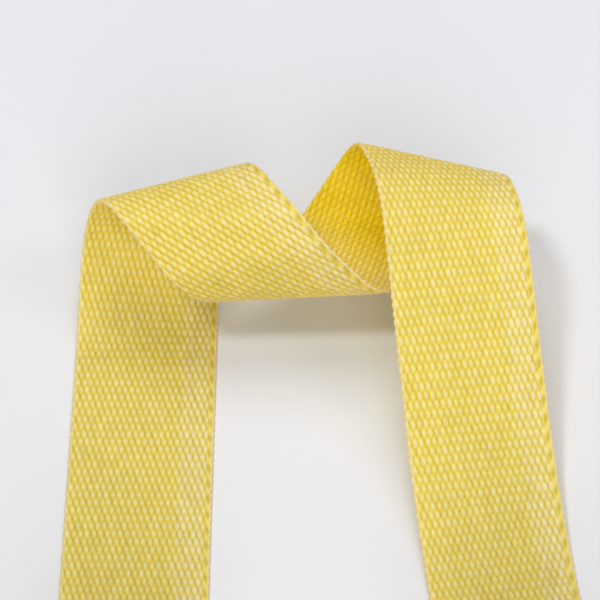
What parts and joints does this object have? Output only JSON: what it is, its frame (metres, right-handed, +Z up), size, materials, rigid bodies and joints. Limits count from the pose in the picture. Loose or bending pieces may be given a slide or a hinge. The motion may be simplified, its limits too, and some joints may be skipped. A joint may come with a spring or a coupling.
{
  "type": "martial arts belt",
  "caption": "Flat woven yellow webbing belt, turned over itself in a folded loop, lying on a table with both tails rolled up.",
  "frame": {"origin": "middle of the belt's footprint, at the height of the table", "axes": "+Z up from the table, +Y from the rolled tails towards the folded loop, +X from the left leg to the right leg"},
  "size_m": [0.1474, 0.205, 0.0472],
  "materials": {
    "webbing": "coarse flat weave of glossy yarn, soft sheen",
    "hem_webbing": "the same weave, doubled over",
    "sewing_thread": "pale glossy sewing thread"
  },
  "bodies": {
    "left_leg": {"left_rise": "webbing"},
    "left_end": {"left_tail": "webbing", "left_landing": "webbing", "left_roll": "webbing", "left_hem": "hem_webbing", "left_stitch_row_end": "sewing_thread", "left_stitch_row_inner": "sewing_thread"},
    "middle": {"left_fold": "webbing", "left_shoulder": "webbing", "middle_span": "webbing", "lower_fold_entry": "webbing"},
    "rear": {"lower_fold": "webbing", "lower_fold_exit": "webbing", "rear_span": "webbing", "right_rise": "webbing"},
    "right_leg": {"right_fold": "webbing", "right_shoulder": "webbing", "right_fall": "webbing"},
    "right_end": {"right_landing": "webbing", "right_tail": "webbing", "right_roll": "webbing", "right_hem": "hem_webbing", "right_stitch_row_end": "sewing_thread", "right_stitch_row_inner": "sewing_thread"}
  },
  "joints": [
    {"name": "left_landing_bend", "type": "hinge", "parent": "left_leg", "child": "left_end", "pos_m": [-0.05253, 0.06587, 0.00241], "axis": [-0.972, -0.2351, 0], "range_deg": [0, 22], "stiffness_Nm_per_rad": 0.25, "deforming": ["left_landing"]},
    {"name": "left_fold_bend", "type": "hinge", "parent": "left_leg", "child": "middle", "pos_m": [-0.04349, 0.08132, 0.04047], "axis": [-0.9701, -0.1903, -0.1504], "range_deg": [0, 50], "stiffness_Nm_per_rad": 0.25, "deforming": ["left_fold"]},
    {"name": "lower_fold_bend", "type": "hinge", "parent": "middle", "child": "rear", "pos_m": [-0.0115, 0.05596, 0.02206], "axis": [-0.9984, -0.0233, -0.0515], "range_deg": [0, 15], "stiffness_Nm_per_rad": 0.25, "deforming": ["lower_fold"]},
    {"name": "right_fold_bend", "type": "hinge", "parent": "rear", "child": "right_leg", "pos_m": [0.02572, 0.09715, 0.03085], "axis": [-0.9748, 0.2049, 0.0877], "range_deg": [0, 50], "stiffness_Nm_per_rad": 0.25, "deforming": ["right_fold"]},
    {"name": "right_landing_bend", "type": "hinge", "parent": "right_leg", "child": "right_end", "pos_m": [0.04191, -0.00582, 0.00428], "axis": [-0.9755, -0.2198, 0], "range_deg": [0, 40], "stiffness_Nm_per_rad": 0.25, "deforming": ["right_landing"]}
  ]
}
